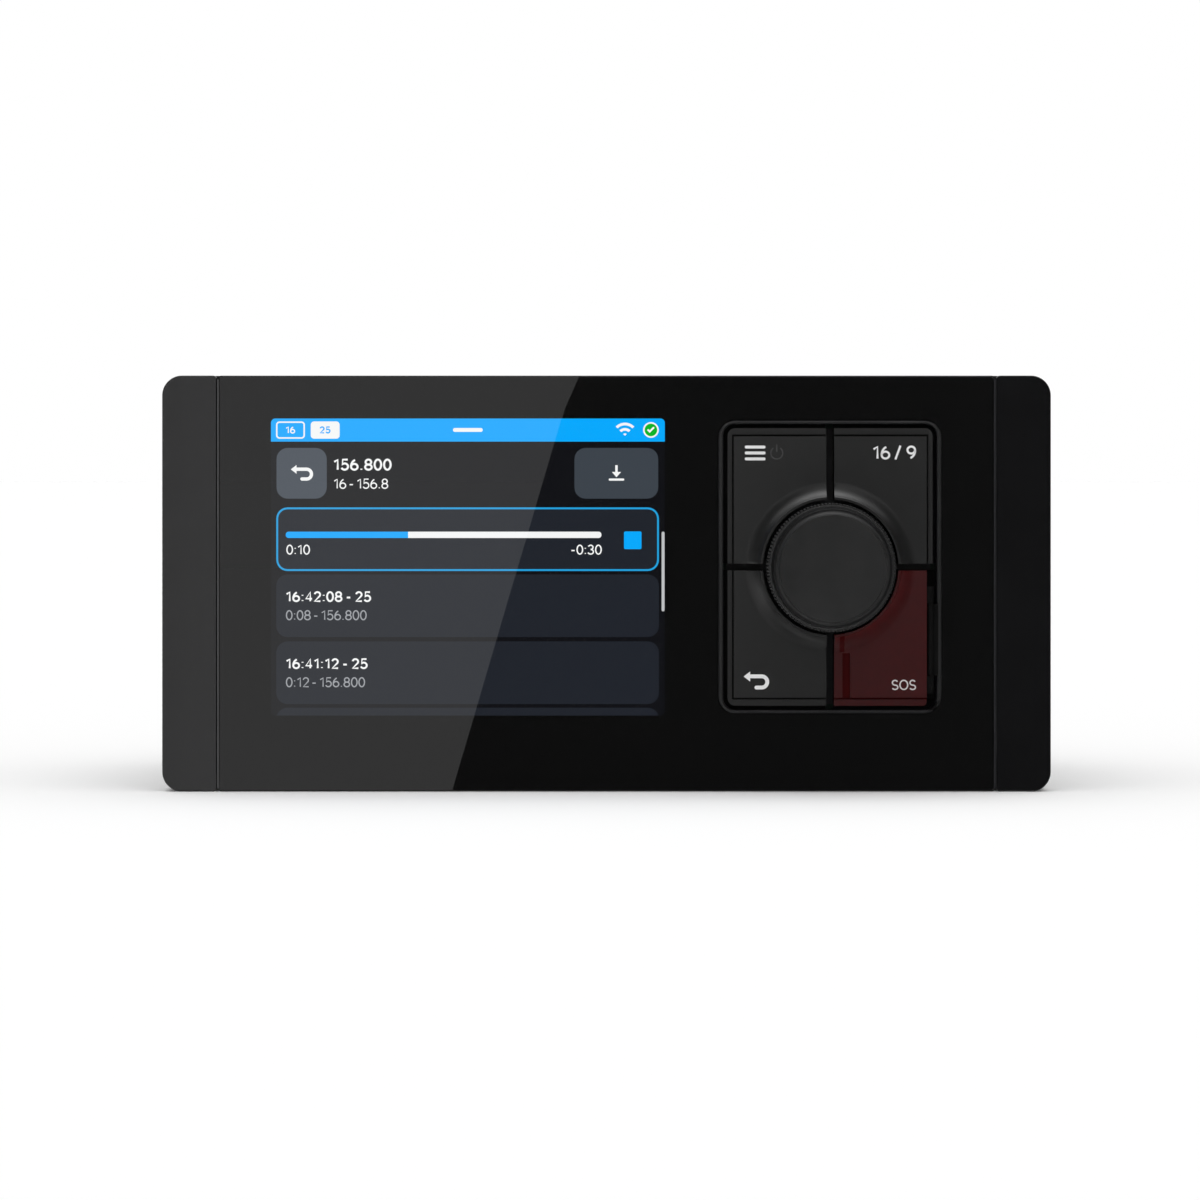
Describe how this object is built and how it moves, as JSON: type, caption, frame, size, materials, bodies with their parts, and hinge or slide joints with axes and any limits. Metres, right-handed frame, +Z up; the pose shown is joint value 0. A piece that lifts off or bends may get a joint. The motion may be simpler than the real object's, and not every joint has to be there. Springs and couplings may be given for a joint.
{
  "type": "marine vhf radio",
  "caption": "Flush-mounted marine VHF radio with a colour touchscreen, selector knob, corner keys and a hinged red distress cover.",
  "frame": {"origin": "centre of the four dash screws, in the plane of the flange's back that seats on the dash", "axes": "+Z up, the face looks along -Y, +Y runs back behind the dash, +X to the right of the face"},
  "size_m": [0.183, 0.1188, 0.0856],
  "materials": {
    "bezel_black": "fine moulded texture",
    "trim_black": "smooth satin",
    "panel_glass": "polished, black print behind",
    "rim_grey": "satin",
    "key_grey": "fine satin",
    "cover_red": "translucent, polished",
    "button_red": "satin",
    "knob_black": "soft satin",
    "grip_rubber": "knurled",
    "soft_black": "plain",
    "silicone_grey": "plain",
    "housing_black": "powder coated casting",
    "bare_aluminium": "as machined",
    "plated_steel": "plated",
    "nickel_plate": "bright plated",
    "contact_gold": "plated",
    "insulator_white": "plain",
    "insert_black": "plain",
    "board_green": "solder mask",
    "module_black": "moulded",
    "display_dark": "polished",
    "light_guide": "clear white",
    "flex_amber": "polyimide film"
  },
  "bodies": {
    "radio": {"front_bezel": "bezel_black", "front_glass": "panel_glass", "glass_tape": "soft_black", "keypad_surround": "rim_grey", "distress_cover_pin": "plated_steel", "encoder_body": "plated_steel", "keypad_mat": "silicone_grey", "key_board": "board_green", "display_panel": "display_dark", "display_backlight": "light_guide", "display_frame": "plated_steel", "keypad_screws": "plated_steel", "display_ribbon": "flex_amber", "keypad_ribbon": "flex_amber", "board_connectors": "insert_black", "main_board": "board_green", "receiver_shield": "plated_steel", "power_amplifier": "module_black", "heat_spreader": "bare_aluminium", "alarm_sounder": "module_black", "board_screws": "plated_steel", "rear_housing": "housing_black", "housing_seal": "soft_black", "dash_gasket": "soft_black", "housing_screws": "plated_steel", "antenna_socket": "nickel_plate", "antenna_insulator": "insulator_white", "antenna_contact": "contact_gold", "network_socket": "nickel_plate", "network_insert": "insert_black", "network_pins": "contact_gold", "handset_socket": "insert_black", "handset_insert": "insert_black", "handset_pins": "contact_gold", "power_socket": "insert_black", "power_insert": "insert_black", "power_pins": "contact_gold", "socket_nuts": "nickel_plate", "ground_screw": "plated_steel", "pressure_vent": "insert_black"},
    "menu_button": {"menu_button": "key_grey"},
    "channel_button": {"channel_button": "key_grey"},
    "back_button": {"back_button": "key_grey"},
    "distress_button": {"distress_button": "button_red"},
    "distress_cover": {"distress_cover": "cover_red"},
    "knob_turn": {"encoder_rotor": "insert_black"},
    "knob": {"knob_cap": "knob_black", "knob_grip_ring": "grip_rubber", "encoder_shaft": "plated_steel"},
    "left_trim_cap": {"left_trim_cap": "trim_black"},
    "right_trim_cap": {"right_trim_cap": "trim_black"}
  },
  "joints": [
    {"name": "menu_button_press", "type": "slide", "parent": "radio", "child": "menu_button", "axis": [0, 1, 0], "range_m": [0, 0.0008], "stiffness_N_per_m": 2500, "deforming": ["keypad_mat"]},
    {"name": "channel_button_press", "type": "slide", "parent": "radio", "child": "channel_button", "axis": [0, 1, 0], "range_m": [0, 0.0008], "stiffness_N_per_m": 2500, "deforming": ["keypad_mat"]},
    {"name": "back_button_press", "type": "slide", "parent": "radio", "child": "back_button", "axis": [0, 1, 0], "range_m": [0, 0.0008], "stiffness_N_per_m": 2500, "deforming": ["keypad_mat"]},
    {"name": "distress_button_press", "type": "slide", "parent": "radio", "child": "distress_button", "axis": [0, 1, 0], "range_m": [0, 0.0008], "stiffness_N_per_m": 2500, "deforming": ["keypad_mat"]},
    {"name": "distress_cover_hinge", "type": "hinge", "parent": "radio", "child": "distress_cover", "pos_m": [0.0667, -0.0117, 0], "axis": [0, 0, 1], "range_deg": [0, 105]},
    {"name": "knob_spin", "type": "hinge", "parent": "radio", "child": "knob_turn", "pos_m": [0.046, 0, 0.00345], "axis": [0, 1, 0], "continuous": true},
    {"name": "knob_press", "type": "slide", "parent": "knob_turn", "child": "knob", "axis": [0, 1, 0], "range_m": [0, 0.0008], "stiffness_N_per_m": 4000},
    {"name": "left_trim_cap_pull", "type": "slide", "parent": "radio", "child": "left_trim_cap", "axis": [0, -1, 0], "range_m": [0, 0.008]},
    {"name": "right_trim_cap_pull", "type": "slide", "parent": "radio", "child": "right_trim_cap", "axis": [0, -1, 0], "range_m": [0, 0.008]}
  ]
}
